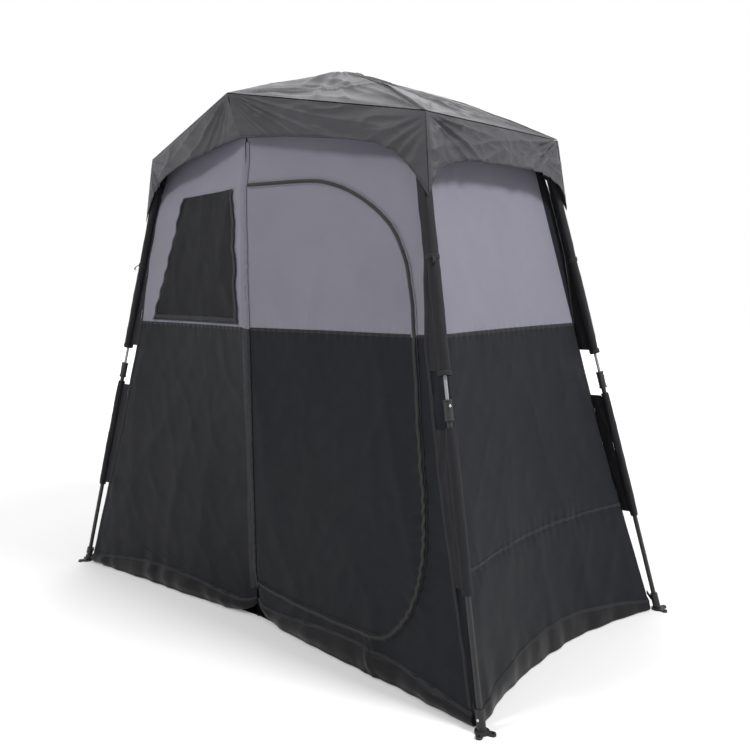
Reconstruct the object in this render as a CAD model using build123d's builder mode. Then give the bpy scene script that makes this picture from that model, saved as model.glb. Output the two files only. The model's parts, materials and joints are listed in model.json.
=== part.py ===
from build123d import *
from math import atan2, cos, degrees, hypot, radians, sin
import os

os.makedirs("parts", exist_ok=True)

# A two-room privacy shower tent: a hub with six folding arms, four telescoping
# legs, a fly roof with corner skirts, fabric walls, a door, a window flap, a
# divider and a groundsheet. Millimetres, +Z up, origin on the ground under the hub.

# ---- driving dimensions ----
CORNER_AZIMUTH = 28.0        # each corner arm and leg stands in one upright plane
FOOT_RADIUS = 1194.0         # foot centre from the hub's axis, 2108 x 1121 apart
SHOULDER_RADIUS = 778.0      # end of a corner arm
SHOULDER_Z = 1690.0
MID_TIP_RADIUS = 528.0       # end of a front or back middle arm
MID_TIP_Z = 1825.0
HUB_PIN_RADIUS = 45.0        # hub hinge pins, leaving room for six upright arms
HUB_PIN_Z = 1948.0
ELBOW_DROP = 34.0            # leg pivot below the arm's line, so they fold side by side

APEX_Z = 1990.0              # fabric over the hub
PEAK = (541.0, 1841.0)       # fabric over a middle arm's tip: radius, height
CORNER = (806.0, 1708.0)     # fabric over a shoulder: radius, height
FABRIC = 2.0                 # thickness of every fabric panel
WALL_LOW, WALL_TOP = 6.0, 1640.0
MID_WALL_Y = 478.0           # middle seam of the front and back walls
MID_WALL_TOP = 1690.0

ARM_OUTER, ARM_INNER = 7.5, 6.3
ROD_RADIUS = 5.0             # upper leg rod
TUBE_OUTER, TUBE_INNER = 8.0, 5.6
FITTING_RADIUS = 12.5
SLEEVE_OUTER, SLEEVE_INNER = 16.0, 14.0
LOWER_SLEEVE_OUTER = 11.0
PIN_RADIUS = 3.0
PIN_GAP = 0.06               # running clearance of an eye on its pin
EYE_RADIUS = 8.0

# stations along a leg, measured from its pivot
ROD_END = 930.0
FITTING_TOP, FITTING_END = 805.0, 862.0
TUBE_TOP = 838.0
BUTTON_AT = 822.0
SLEEVE_SPAN = (64.0, 731.0)
LOWER_SLEEVE_SPAN = (886.0, 1346.0)
STAKE_HOLE_RADIUS = 4.5

CORNERS = {
    "front_right": -CORNER_AZIMUTH,
    "front_left": CORNER_AZIMUTH - 180,
    "back_right": CORNER_AZIMUTH,
    "back_left": 180 - CORNER_AZIMUTH,
}
MIDDLES = {"front_middle": -90.0, "back_middle": 90.0}


def spot(azimuth, radius, z):
    """Point at a radius and height in the upright plane of one arm."""
    return Vector(radius * cos(radians(azimuth)), radius * sin(radians(azimuth)), z)


def hinge_axis(azimuth):
    """Direction about which an arm at this azimuth swings upwards."""
    return Vector(sin(radians(azimuth)), -cos(radians(azimuth)), 0)


def save(piece, name):
    piece.part.label = name
    export_step(piece.part, f"parts/{name}.step")


# ---- worked out from the driving dimensions ----
ARM_SLOPE = atan2(SHOULDER_Z - HUB_PIN_Z, SHOULDER_RADIUS - HUB_PIN_RADIUS)
PIVOT_RADIUS = SHOULDER_RADIUS + ELBOW_DROP * sin(ARM_SLOPE)
PIVOT_Z = SHOULDER_Z - ELBOW_DROP * cos(ARM_SLOPE)
LEG_LENGTH = hypot(FOOT_RADIUS - PIVOT_RADIUS, PIVOT_Z)
LEG_SLOPE = atan2(-PIVOT_Z, FOOT_RADIUS - PIVOT_RADIUS)
MID_SLOPE = atan2(MID_TIP_Z - HUB_PIN_Z, MID_TIP_RADIUS - HUB_PIN_RADIUS)


def leg_radius(z):
    """Distance of a leg's line from the hub's axis at height z."""
    return PIVOT_RADIUS + (PIVOT_Z - z) / PIVOT_Z * (FOOT_RADIUS - PIVOT_RADIUS)


def leg_plane(azimuth, along=0.0):
    """Plane across a leg, at a station along it; X is the hinge axis, Y the inner side."""
    across = hinge_axis(azimuth)
    down = spot(azimuth, cos(LEG_SLOPE), sin(LEG_SLOPE))
    pivot = spot(azimuth, PIVOT_RADIUS, PIVOT_Z)
    return Plane(origin=pivot + down * along, x_dir=across, z_dir=down)


# ---- hub ----
HUB_CORE_RADIUS = 34.0
HUB_FLOOR, HUB_TOP = HUB_PIN_Z - 24, HUB_PIN_Z + 30
CHEEK_INNER, CHEEK_OUTER = 8.2, 12.7
LUG_REACH = 54.0
LUG_HALF_HEIGHT = 11.0

with BuildPart() as hub_body:
    with BuildSketch(Plane.XY.offset(HUB_FLOOR)):
        Circle(HUB_CORE_RADIUS)
    extrude(amount=HUB_TOP - HUB_FLOOR)
    fillet(hub_body.edges().group_by(Axis.Z)[-1], 10)
    chamfer(hub_body.edges().group_by(Axis.Z)[0], 3)
    for azimuth in [*CORNERS.values(), *MIDDLES.values()]:
        with BuildSketch(Plane.XY.offset(HUB_PIN_Z - LUG_HALF_HEIGHT)):
            with Locations(Location((0, 0, 0), azimuth)):
                for side in (1, -1):
                    with Locations((LUG_REACH / 2, side * (CHEEK_INNER + CHEEK_OUTER) / 2)):
                        Rectangle(LUG_REACH, CHEEK_OUTER - CHEEK_INNER)
        extrude(amount=2 * LUG_HALF_HEIGHT)
    for azimuth in [*CORNERS.values(), *MIDDLES.values()]:
        pin_plane = Plane(spot(azimuth, HUB_PIN_RADIUS, HUB_PIN_Z), z_dir=hinge_axis(azimuth))
        with BuildSketch(pin_plane):
            Circle(PIN_RADIUS)
        extrude(amount=CHEEK_OUTER + 1, both=True, mode=Mode.SUBTRACT)
save(hub_body, "hub_body")

with BuildPart() as hub_pins:
    for azimuth in [*CORNERS.values(), *MIDDLES.values()]:
        with BuildSketch(Plane(spot(azimuth, HUB_PIN_RADIUS, HUB_PIN_Z), z_dir=hinge_axis(azimuth))):
            Circle(PIN_RADIUS)
        extrude(amount=CHEEK_OUTER, both=True)
save(hub_pins, "hub_pins")


# ---- arms: a steel tube with an eye at the hub ----
ARM_EYE_HALF = 7.8


def make_arm(azimuth, slope, length, capped):
    """Arm from its hub pin; a middle arm ends in a closed round tip."""
    pin = spot(azimuth, HUB_PIN_RADIUS, HUB_PIN_Z)
    along = spot(azimuth, cos(slope), sin(slope))
    run = Plane(pin, x_dir=hinge_axis(azimuth), z_dir=along)
    across = Plane(pin, z_dir=hinge_axis(azimuth))
    with BuildPart() as arm:
        with BuildSketch(run.offset(PIN_RADIUS + 1)):
            Circle(ARM_OUTER)
        extrude(amount=length - PIN_RADIUS - 1)
        if capped:
            fillet(arm.edges().sort_by(lambda e: (e.center() - pin).length)[-1], 5)
        with BuildSketch(across):
            Circle(EYE_RADIUS)
        extrude(amount=ARM_EYE_HALF, both=True)
        with BuildSketch(across):
            Circle(PIN_RADIUS + PIN_GAP)
        extrude(amount=ARM_EYE_HALF + 3, both=True, mode=Mode.SUBTRACT)
        if not capped:
            with BuildSketch(run.offset(length)):
                Circle(ARM_INNER)
            extrude(amount=-(length - 30), mode=Mode.SUBTRACT)
    return arm


CORNER_ARM = hypot(SHOULDER_RADIUS - HUB_PIN_RADIUS, SHOULDER_Z - HUB_PIN_Z)
MIDDLE_ARM = hypot(MID_TIP_RADIUS - HUB_PIN_RADIUS, MID_TIP_Z - HUB_PIN_Z)
for place, azimuth in CORNERS.items():
    save(make_arm(azimuth, ARM_SLOPE, CORNER_ARM, False), f"arm_{place}")
for place, azimuth in MIDDLES.items():
    save(make_arm(azimuth, MID_SLOPE, MIDDLE_ARM, True), f"arm_{place}")

# ---- shoulders: a moulded socket on the arm's end, with two cheeks and the leg's pin ----
SOCKET_RADIUS = 11.0
SOCKET_LENGTH = 34.0
ELBOW_CHEEK = (8.6, 12.0)


def make_shoulder(azimuth):
    end = spot(azimuth, SHOULDER_RADIUS, SHOULDER_Z)
    along = spot(azimuth, cos(ARM_SLOPE), sin(ARM_SLOPE))
    across = hinge_axis(azimuth)
    run = Plane(end, x_dir=across, z_dir=along)
    with BuildPart() as shoulder:
        with BuildSketch(run.offset(-SOCKET_LENGTH)):
            Circle(SOCKET_RADIUS)
            Circle(ARM_OUTER, mode=Mode.SUBTRACT)
        extrude(amount=SOCKET_LENGTH)
        with BuildSketch(run):
            Circle(SOCKET_RADIUS)
        extrude(amount=3)
        for side in (1, -1):
            face = Plane(end + across * (side * ELBOW_CHEEK[0]), x_dir=along, z_dir=across * side)
            drop = face.to_local_coords(spot(azimuth, PIVOT_RADIUS, PIVOT_Z)).Y
            with BuildSketch(face):
                with Locations((-9, 0)):
                    Circle(9)
                with Locations((0, drop)):
                    Circle(9)
                with Locations((-4.5, drop / 2)):
                    Rectangle(19, abs(drop), rotation=0)
            extrude(amount=ELBOW_CHEEK[1] - ELBOW_CHEEK[0])
        with BuildSketch(Plane(spot(azimuth, PIVOT_RADIUS, PIVOT_Z), z_dir=across)):
            Circle(PIN_RADIUS)
        extrude(amount=ELBOW_CHEEK[1] + 1, both=True, mode=Mode.SUBTRACT)
        with BuildSketch(run.offset(-SOCKET_LENGTH)):
            Circle(ARM_OUTER)
        extrude(amount=SOCKET_LENGTH, mode=Mode.SUBTRACT)
        with BuildSketch(Plane(spot(azimuth, PIVOT_RADIUS, PIVOT_Z), z_dir=across)):
            Circle(PIN_RADIUS)
        extrude(amount=ELBOW_CHEEK[1] + 1.5, both=True)
    return shoulder


for place, azimuth in CORNERS.items():
    save(make_shoulder(azimuth), f"shoulder_{place}")

# ---- upper legs: a steel rod with an eye, inside a fabric sleeve ----


def make_upper_rod(azimuth):
    with BuildPart() as rod:
        with BuildSketch(leg_plane(azimuth, PIN_RADIUS + 1)):
            Circle(EYE_RADIUS - 1)
        extrude(amount=32)
        with BuildSketch(leg_plane(azimuth, PIN_RADIUS + 1)):
            Circle(ROD_RADIUS)
        extrude(amount=ROD_END - PIN_RADIUS - 1)
        pivot = Plane(spot(azimuth, PIVOT_RADIUS, PIVOT_Z), z_dir=hinge_axis(azimuth))
        with BuildSketch(pivot):
            Circle(EYE_RADIUS)
        extrude(amount=EYE_RADIUS, both=True)
        with BuildSketch(pivot):
            Circle(PIN_RADIUS + PIN_GAP)
        extrude(amount=EYE_RADIUS + 2, both=True, mode=Mode.SUBTRACT)
    return rod


def make_ring(azimuth, outer, inner, start, end):
    """Hollow round piece along a leg, between two stations."""
    with BuildPart() as ring:
        with BuildSketch(leg_plane(azimuth, start)):
            Circle(outer)
            Circle(inner, mode=Mode.SUBTRACT)
        extrude(amount=end - start)
    return ring


for place, azimuth in CORNERS.items():
    save(make_upper_rod(azimuth), f"upper_rod_{place}")
    save(make_ring(azimuth, SLEEVE_OUTER, SLEEVE_INNER, *SLEEVE_SPAN), f"upper_sleeve_{place}")

# ---- lower legs: a tube, its lock fitting with a push button, a sleeve and a foot ----
BUTTON_RADIUS = 4.0
BUTTON_GAP = 0.3
BUTTON_SPAN = (8.4, 15.6)
FITTING_BORE = 5.3
BOOT_RADIUS = 13.0
BOOT_LENGTH = 62.0
BASE_RADIUS = 21.0
BASE_HEIGHT = 7.0
EAR_REACH = 31.0
EAR_SPREAD = 42.0


def button_plane(azimuth):
    """Plane whose Z points outwards through the button, away from the hub's axis."""
    base = leg_plane(azimuth, BUTTON_AT)
    return Plane(base.origin, x_dir=base.z_dir, z_dir=base.y_dir * button_side(base))


def button_side(base):
    outwards = Vector(base.origin.X, base.origin.Y, 0)
    return 1 if base.y_dir.dot(outwards) > 0 else -1


def make_fitting(azimuth):
    with BuildPart() as fitting:
        with BuildSketch(leg_plane(azimuth, FITTING_TOP)):
            Circle(FITTING_RADIUS)
        extrude(amount=FITTING_END - FITTING_TOP)
        chamfer(fitting.edges(), 1.2)
        with BuildSketch(leg_plane(azimuth, FITTING_TOP)):
            Circle(FITTING_BORE)
        extrude(amount=FITTING_END - FITTING_TOP, mode=Mode.SUBTRACT)
        with BuildSketch(leg_plane(azimuth, TUBE_TOP)):
            Circle(TUBE_OUTER)
        extrude(amount=FITTING_END - TUBE_TOP, mode=Mode.SUBTRACT)
        with BuildSketch(button_plane(azimuth)):
            Circle(BUTTON_RADIUS + BUTTON_GAP)
        extrude(amount=FITTING_RADIUS + 4, mode=Mode.SUBTRACT)
    return fitting


def make_button(azimuth):
    with BuildPart() as button:
        with BuildSketch(button_plane(azimuth).offset(BUTTON_SPAN[0])):
            Circle(BUTTON_RADIUS)
        extrude(amount=BUTTON_SPAN[1] - BUTTON_SPAN[0])
        fillet(button.edges().sort_by(lambda e: hypot(e.center().X, e.center().Y))[-1], 1.2)
    return button


def make_foot(azimuth):
    """Moulded boot on a flat base, with an ear for a stake on each outer side."""
    tube_end = LEG_LENGTH - 20
    with BuildPart() as foot:
        with BuildSketch(Plane.XY):
            with Locations(Location(spot(azimuth, FOOT_RADIUS, 0), azimuth)):
                Circle(BASE_RADIUS)
                for side in (1, -1):
                    with Locations(Location((0, 0, 0), side * EAR_SPREAD)):
                        with Locations((EAR_REACH / 2, 0)):
                            Rectangle(EAR_REACH, 2 * (STAKE_HOLE_RADIUS + 5))
                        with Locations((EAR_REACH, 0)):
                            Circle(STAKE_HOLE_RADIUS + 5)
        extrude(amount=BASE_HEIGHT)
        with BuildSketch(Plane.XY):
            with Locations(Location(spot(azimuth, FOOT_RADIUS, 0), azimuth)):
                for side in (1, -1):
                    with Locations(Location((0, 0, 0), side * EAR_SPREAD)):
                        with Locations((EAR_REACH, 0)):
                            Circle(STAKE_HOLE_RADIUS)
        extrude(amount=BASE_HEIGHT, mode=Mode.SUBTRACT)
        with BuildSketch(leg_plane(azimuth, LEG_LENGTH - BOOT_LENGTH)):
            Circle(BOOT_RADIUS)
        extrude(amount=BOOT_LENGTH - BASE_HEIGHT / 2)
        with BuildSketch(leg_plane(azimuth, LEG_LENGTH - BOOT_LENGTH)):
            Circle(TUBE_OUTER)
        extrude(amount=tube_end - LEG_LENGTH + BOOT_LENGTH, mode=Mode.SUBTRACT)
    return foot


for place, azimuth in CORNERS.items():
    tube_end = LEG_LENGTH - 20
    save(make_ring(azimuth, TUBE_OUTER, TUBE_INNER, TUBE_TOP, tube_end), f"lower_tube_{place}")
    save(make_fitting(azimuth), f"lock_fitting_{place}")
    save(make_button(azimuth), f"lock_button_{place}")
    save(
        make_ring(azimuth, LOWER_SLEEVE_OUTER, TUBE_OUTER + 0.4, *LOWER_SLEEVE_SPAN),
        f"lower_sleeve_{place}",
    )
    save(make_foot(azimuth), f"foot_{place}")

# ---- fly roof: six flat facets that meet over the hub ----
EAVE_GAP = 2.0
apex = Vector(0, 0, APEX_Z)


def make_facet(first, second):
    """Triangle of fabric from the apex to an eave line, with its skin on the outside."""
    normal = (first - apex).cross(second - apex)
    if normal.Z < 0:
        normal = normal * -1
    middle = (apex + first + second) * (1 / 3)
    skin = Plane(middle, x_dir=second - first, z_dir=normal)
    points = [skin.to_local_coords(p) for p in (apex, first, second)]
    with BuildPart() as facet:
        with BuildSketch(skin):
            with BuildLine():
                Polyline(*[(p.X, p.Y) for p in points], close=True)
            make_face()
            offset(amount=-EAVE_GAP / 2, mode=Mode.REPLACE)
        extrude(amount=FABRIC)
    return facet


corner_tops = {place: spot(azimuth, *CORNER) for place, azimuth in CORNERS.items()}
peak_tops = {place: spot(azimuth, *PEAK) for place, azimuth in MIDDLES.items()}
FLY_FACETS = {
    "front_left": (peak_tops["front_middle"], corner_tops["front_left"]),
    "front_right": (peak_tops["front_middle"], corner_tops["front_right"]),
    "right_end": (corner_tops["front_right"], corner_tops["back_right"]),
    "back_right": (peak_tops["back_middle"], corner_tops["back_right"]),
    "back_left": (peak_tops["back_middle"], corner_tops["back_left"]),
    "left_end": (corner_tops["front_left"], corner_tops["back_left"]),
}
for place, (first, second) in FLY_FACETS.items():
    save(make_facet(first, second), f"fly_{place}")

# ---- ruled fabric panels ----


def edge_strip(low, high, push):
    """Narrow end face of a panel, from a low point to a high one, as thick as push."""
    return Face(Wire.make_polygon([low, high, high + push, low + push], close=True))


def flip(part, place):
    """Mirror images of a front right piece for the other three corners."""
    if place.endswith("left"):
        part = part.mirror(Plane.YZ)
    if place.startswith("back"):
        part = part.mirror(Plane.XZ)
    return part


# ---- fly skirts: one for each corner, from the middle seam round to the end's middle ----
SKIRT_MID_Y, SKIRT_MID_LOW = 486.0, 1560.0
SKIRT_TIP = (741.0, 397.0, 1462.0)
SKIRT_EDGE = [(0, 1702), (200, 1686), (440, 1654), (600, 1612), (690, 1535), (741, 1461)]
SKIRT_END_EDGE = [(0, 1586), (200, 1581), (300, 1562), (360, 1525), (398, 1461)]
SEAM_GAP = 1.5

front_peak = Vector(0, -PEAK[0], PEAK[1])
front_corner = spot(-CORNER_AZIMUTH, *CORNER)
with BuildPart() as skirt_front_right:
    inward = Vector(0, FABRIC, 0)
    drop = Vector(0, 0, -4)
    tip = Vector(SKIRT_TIP[0], -SKIRT_TIP[1], SKIRT_TIP[2])
    eave_end = front_corner + drop
    start = front_peak + drop + Vector(SEAM_GAP, 0, -1)
    loft(
        [
            edge_strip(Vector(SEAM_GAP, -SKIRT_MID_Y, SKIRT_MID_LOW), start, inward),
            edge_strip(tip, eave_end, inward),
        ],
        ruled=True,
    )
    loft(
        [
            edge_strip(tip, eave_end, Vector(-FABRIC, 0, 0)),
            edge_strip(
                Vector(tip.X, -SEAM_GAP, tip.Z), Vector(eave_end.X, -SEAM_GAP, eave_end.Z),
                Vector(-FABRIC, 0, 0),
            ),
        ],
        ruled=True,
    )
    with BuildSketch(Plane.XZ):
        with BuildLine():
            Spline(*SKIRT_EDGE)
            Polyline((741, 1461), (741, 1400), (0, 1400), (0, 1702))
        make_face()
    extrude(amount=500 + SKIRT_MID_Y, both=False, mode=Mode.SUBTRACT)
    with BuildSketch(Plane.YZ.offset(SKIRT_TIP[0] - 40)):
        with BuildLine():
            Spline(*[(-y, z) for y, z in SKIRT_END_EDGE])
            Polyline((-398, 1461), (-398, 1400), (0, 1400), (0, 1586))
        make_face()
    extrude(amount=100, mode=Mode.SUBTRACT)
for place in CORNERS:
    with BuildPart() as skirt:
        add(flip(skirt_front_right.part, place))
    save(skirt, f"skirt_{place}")

# ---- walls ----
SEAM_HALF = 4.0
LEG_INSET_TOP, LEG_INSET_LOW = 34.0, 52.0
END_INSET = 8.0
END_BOW = 105.0              # how far an end wall's foot curves in at its middle

leg_top = spot(-CORNER_AZIMUTH, leg_radius(WALL_TOP), WALL_TOP)
leg_low = spot(-CORNER_AZIMUTH, leg_radius(WALL_LOW), WALL_LOW)


def long_wall():
    """Front right wall, from the middle seam to the leg."""
    with BuildPart() as wall:
        loft(
            [
                edge_strip(
                    Vector(SEAM_HALF, -MID_WALL_Y, WALL_LOW),
                    Vector(SEAM_HALF, -MID_WALL_Y, MID_WALL_TOP),
                    Vector(0, FABRIC, 0),
                ),
                edge_strip(
                    leg_low + Vector(-LEG_INSET_LOW, 6, 0),
                    leg_top + Vector(-LEG_INSET_TOP, -2, 0),
                    Vector(0, FABRIC, 0),
                ),
            ],
            ruled=True,
        )
    return wall


# the door is cut from the front right wall: a D, with its straight side on a strip at the
# middle seam
DOOR_LOW, DOOR_TOP = 125.0, 1545.0
DOOR_REACH, DOOR_REACH_Z = 803.0, 430.0
DOOR_FOOT = 600.0
DOOR_GAP = 3.0
DOOR_START = 8.0
STRIP_FROM, STRIP_TO = -1.5, 5.0


def cut_by_door(left, grow, mode):
    """The front right wall less the D, or the D alone, with the D grown by a little."""
    with BuildPart() as piece:
        add(full_wall.part)
        with BuildSketch(Plane.XZ):
            with BuildLine():
                Polyline((left, DOOR_LOW - grow), (left, DOOR_TOP + grow), (270, DOOR_TOP + grow))
                Spline(
                    (270, DOOR_TOP + grow), (440 + grow, 1498 + grow), (600 + grow, 1383),
                    (690 + grow, 1200), (739 + grow, 886), (DOOR_REACH + grow, DOOR_REACH_Z),
                    tangents=[(1, 0), (0, -1)],
                )
                Spline(
                    (DOOR_REACH + grow, DOOR_REACH_Z), (765 + grow, 255), (DOOR_FOOT, 115 - grow),
                    tangents=[(0, -1), (-1, 0)],
                )
                Polyline((DOOR_FOOT, 115 - grow), (left, DOOR_LOW - grow))
            make_face()
        extrude(amount=700, mode=mode)
    return piece


full_wall = long_wall()
save(cut_by_door(0, DOOR_GAP, Mode.SUBTRACT), "wall_front_right")
save(cut_by_door(DOOR_START, 0, Mode.INTERSECT), "door_panel")

with BuildPart() as door_seam:
    with Locations(
        (
            (STRIP_FROM + STRIP_TO) / 2,
            -MID_WALL_Y + FABRIC / 2,
            (DOOR_LOW + DOOR_TOP) / 2,
        )
    ):
        Box(STRIP_TO - STRIP_FROM, FABRIC, DOOR_TOP - DOOR_LOW)
save(door_seam, "door_seam")

for place in ("front_left", "back_right", "back_left"):
    with BuildPart() as wall:
        add(flip(full_wall.part, place))
    save(wall, f"wall_{place}")

for name, side in (("wall_right_end", 1), ("wall_left_end", -1)):
    push = Vector(-FABRIC * side, 0, 0)
    strips = []
    for across, bow in ((-1, 0.0), (0, 1.0), (1, 0.0)):
        low_y, high_y = (abs(leg_low.Y) - 26) * across, (abs(leg_top.Y) - 22) * across
        low = Vector((leg_low.X - END_INSET - bow * END_BOW) * side, low_y, WALL_LOW)
        high = Vector((leg_top.X - END_INSET - bow * 8) * side, high_y, WALL_TOP)
        strips.append(edge_strip(low, high, push))
    with BuildPart() as wall:
        loft(strips, ruled=True)
    save(wall, name)

# ---- window flap on the front left wall, hung from its top edge ----
WINDOW_TOP, WINDOW_LOW = 1540.0, 1068.0
WINDOW_STANDOFF = 4.0
with BuildPart() as window_flap:
    low_in = Vector(-60, -(MID_WALL_Y + WINDOW_STANDOFF), WINDOW_LOW)
    high_in = Vector(-85, -(MID_WALL_Y + WINDOW_STANDOFF), WINDOW_TOP)
    low_out = Vector(-650, -(443 + WINDOW_STANDOFF), WINDOW_LOW)
    high_out = Vector(-480, -(417 + WINDOW_STANDOFF), WINDOW_TOP)
    push = Vector(0, -FABRIC, 0)
    loft([edge_strip(low_in, high_in, push), edge_strip(low_out, high_out, push)], ruled=True)
save(window_flap, "window_flap")

# ---- divider between the rooms, and the groundsheet ----
with BuildPart() as divider:
    with BuildSketch(Plane.YZ.offset(-FABRIC / 2)):
        with Locations((0, (WALL_LOW + MID_WALL_TOP) / 2)):
            Rectangle(2 * (MID_WALL_Y - 8), MID_WALL_TOP - WALL_LOW)
    extrude(amount=FABRIC)
save(divider, "divider")

SHEET_THICKNESS = 3.0
with BuildPart() as groundsheet:
    with BuildSketch(Plane.XY):
        with BuildLine():
            Polyline(
                (0, -452), (70, -470), (1004, -528), (912, 0), (1004, 528), (70, 470),
                (0, 452), (-70, 470), (-1004, 528), (-912, 0), (-1004, -528), (-70, -470),
                close=True,
            )
        make_face()
    extrude(amount=SHEET_THICKNESS)
save(groundsheet, "groundsheet")
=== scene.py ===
import json
from math import atan2, cos, exp, hypot, pi, radians, sin, tau

import bmesh
import bpy
from mathutils import Matrix, Vector, noise


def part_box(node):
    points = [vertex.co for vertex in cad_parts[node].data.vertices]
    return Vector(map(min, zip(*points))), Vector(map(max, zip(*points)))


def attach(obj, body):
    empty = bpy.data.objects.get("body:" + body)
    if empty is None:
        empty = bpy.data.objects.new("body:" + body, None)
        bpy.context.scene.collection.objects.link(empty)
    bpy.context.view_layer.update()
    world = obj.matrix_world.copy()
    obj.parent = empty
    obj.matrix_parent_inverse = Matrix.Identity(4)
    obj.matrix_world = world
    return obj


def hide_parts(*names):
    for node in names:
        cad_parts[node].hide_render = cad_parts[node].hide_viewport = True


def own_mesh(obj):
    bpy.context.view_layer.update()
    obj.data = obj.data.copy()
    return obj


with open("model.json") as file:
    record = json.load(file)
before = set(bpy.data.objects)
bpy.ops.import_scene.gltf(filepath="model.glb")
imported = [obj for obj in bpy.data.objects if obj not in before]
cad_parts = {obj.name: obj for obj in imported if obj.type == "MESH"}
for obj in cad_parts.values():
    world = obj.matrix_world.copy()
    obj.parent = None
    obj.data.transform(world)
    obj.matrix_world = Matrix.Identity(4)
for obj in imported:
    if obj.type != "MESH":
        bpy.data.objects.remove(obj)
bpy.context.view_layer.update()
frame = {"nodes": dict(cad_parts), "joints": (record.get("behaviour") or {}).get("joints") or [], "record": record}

bl_info = {
    "name": "Privacy shower tent",
    "version": (1, 0, 0),
    "blender": (4, 5, 0),
    "location": "View3D > Sidebar > Tent",
    "description": "Builds the fabric, trims and finishes of a two-room pop-up shower tent",
    "category": "Object",
}

# ---- places read from the frame ----
JOINTS = {joint["name"]: joint for joint in frame["joints"]}
CORNERS = {"front_right": (1, -1), "front_left": (-1, -1), "back_right": (1, 1), "back_left": (-1, 1)}
PIVOT = Vector(JOINTS["leg_fold_back_right"]["pos_m"])
LEG_RUN = -Vector(JOINTS["leg_slide_back_right"]["axis"])
HUB_PIN = Vector(JOINTS["arm_fold_back_right"]["pos_m"])
FLY_LOW, FLY_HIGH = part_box("fly_right_end")
CORNER_TOP = Vector((FLY_HIGH.x, FLY_HIGH.y, FLY_LOW.z))
PEAK_TOP = Vector((0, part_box("fly_back_right")[1].y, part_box("skirt_back_right")[1].z + 0.004))
MID_WALL_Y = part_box("divider")[1].y + 0.008
DOOR_HINGE = Vector(JOINTS["door_swing"]["pos_m"])
END_WALL_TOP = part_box("wall_right_end")[1].z
WINDOW_LOW, WINDOW_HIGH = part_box("window_flap")


def blend_step(value, start, end):
    """0 before start, 1 after end, smooth between."""
    t = min(1.0, max(0.0, (value - start) / (end - start)))
    return t * t * (3 - 2 * t)


def track(t, stops):
    """Value at t along (segments, value) stops, where the first has no segments."""
    place = t * sum(count for count, _ in stops)
    for (_, low), (count, high) in zip(stops, stops[1:]):
        if place <= count or (count, high) == stops[-1]:
            return low + (high - low) * place / count
        place -= count
    return stops[-1][1]


def follow(value, points):
    """Height of a smooth line through (place, height) points."""
    for (a, low), (b, high) in zip(points, points[1:]):
        if value <= b:
            return low + (high - low) * blend_line(value, a, b)
    return points[-1][1]


def blend_line(value, start, end):
    """0 before start, 1 after end, straight between."""
    return min(1.0, max(0.0, (value - start) / (end - start)))


def leg_at(z):
    """Point of the back right leg's line at a height."""
    return PIVOT + LEG_RUN * ((PIVOT.z - z) / -LEG_RUN.z)


def wave(x, y, seed):
    """Smooth random height between -1 and 1."""
    return noise.noise(Vector((x, y, seed)))


def ridge(x, y, seed):
    """Folds: narrow crests with wide hollows between them, from 0 to 1."""
    return (1 - min(1, abs(2.2 * noise.noise(Vector((x, y, seed)))))) ** 2


def length_property(name, description, default):
    """A length in the panel."""
    return bpy.props.FloatProperty(
        name=name, description=description, default=default, unit="LENGTH"
    )


def colour_property(name, description, default):
    """A colour in the panel."""
    return bpy.props.FloatVectorProperty(
        name=name, description=description, subtype="COLOR", default=default, min=0, max=1
    )


class TentSizes(bpy.types.PropertyGroup):
    """Sizes of the sewn parts."""

    seam_z: length_property("Colour seam", "Height of the seam between the light and dark cloth", 1.054)
    hem_z: length_property("Floor seam", "Height where the walls meet the floor cloth", 0.085)
    fold_depth: length_property("Fold depth", "Depth of the long soft folds in the walls", 0.010)
    pucker: length_property("Seam pucker", "Depth of the small gathers along the seams", 0.0022)


class TentColours(bpy.types.PropertyGroup):
    """Colours of cloth, trims and frame."""

    wall: colour_property("Wall", "Light grey cloth of the upper walls", (0.165, 0.160, 0.198))
    fly: colour_property("Fly", "Mid grey cloth of the roof", (0.046, 0.046, 0.052))
    lower: colour_property("Lower wall", "Near black cloth of the lower walls", (0.0098, 0.0105, 0.0134))
    floor: colour_property("Floor", "Coated black cloth of the floor", (0.009, 0.009, 0.0105))
    trim: colour_property("Trim", "Tapes, sleeves and loops", (0.0125, 0.0125, 0.0150))
    frame: colour_property("Frame", "Powder-coated rods and tubes", (0.010, 0.010, 0.012))


# ---- shader node groups ----


def feed(tree, node, inputs):
    """Link a node's inputs to sockets, or set their values."""
    for key, value in inputs.items():
        if isinstance(value, bpy.types.NodeSocket):
            tree.links.new(value, node.inputs[key])
        else:
            node.inputs[key].default_value = value
    return node


def add_node(tree, kind, inputs, **settings):
    """A shader node with its settings made and its inputs fed."""
    node = tree.nodes.new(f"ShaderNode{kind}")
    for key, value in settings.items():
        setattr(node, key, value)
    return feed(tree, node, inputs)


def new_group(name, inputs, outputs):
    """A node group's tree, its inputs' sockets and its end node; None stands for a vector."""
    group = bpy.data.node_groups.new(name, "ShaderNodeTree")
    for socket, value in inputs.items():
        kind = "Vector" if value is None else "Color" if isinstance(value, tuple) else "Float"
        made = group.interface.new_socket(socket, in_out="INPUT", socket_type=f"NodeSocket{kind}")
        if value is not None:
            made.default_value = value
    for socket in outputs:
        kind = "Color" if socket == "Colour" else "Float"
        group.interface.new_socket(socket, in_out="OUTPUT", socket_type=f"NodeSocket{kind}")
    start = group.nodes.new("NodeGroupInput")
    end = group.nodes.new("NodeGroupOutput")
    return group, start.outputs, end


def math_node(tree, operation, *values):
    """A math node whose inputs are sockets or numbers."""
    return add_node(tree, "Math", dict(enumerate(values)), operation=operation).outputs[0]


def noise_node(tree, vector, scale, detail, rough=0.55):
    """Soft random pattern."""
    inputs = {"Scale": scale, "Detail": detail, "Roughness": rough, "Vector": vector}
    return add_node(tree, "TexNoise", inputs).outputs["Fac"]


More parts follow.
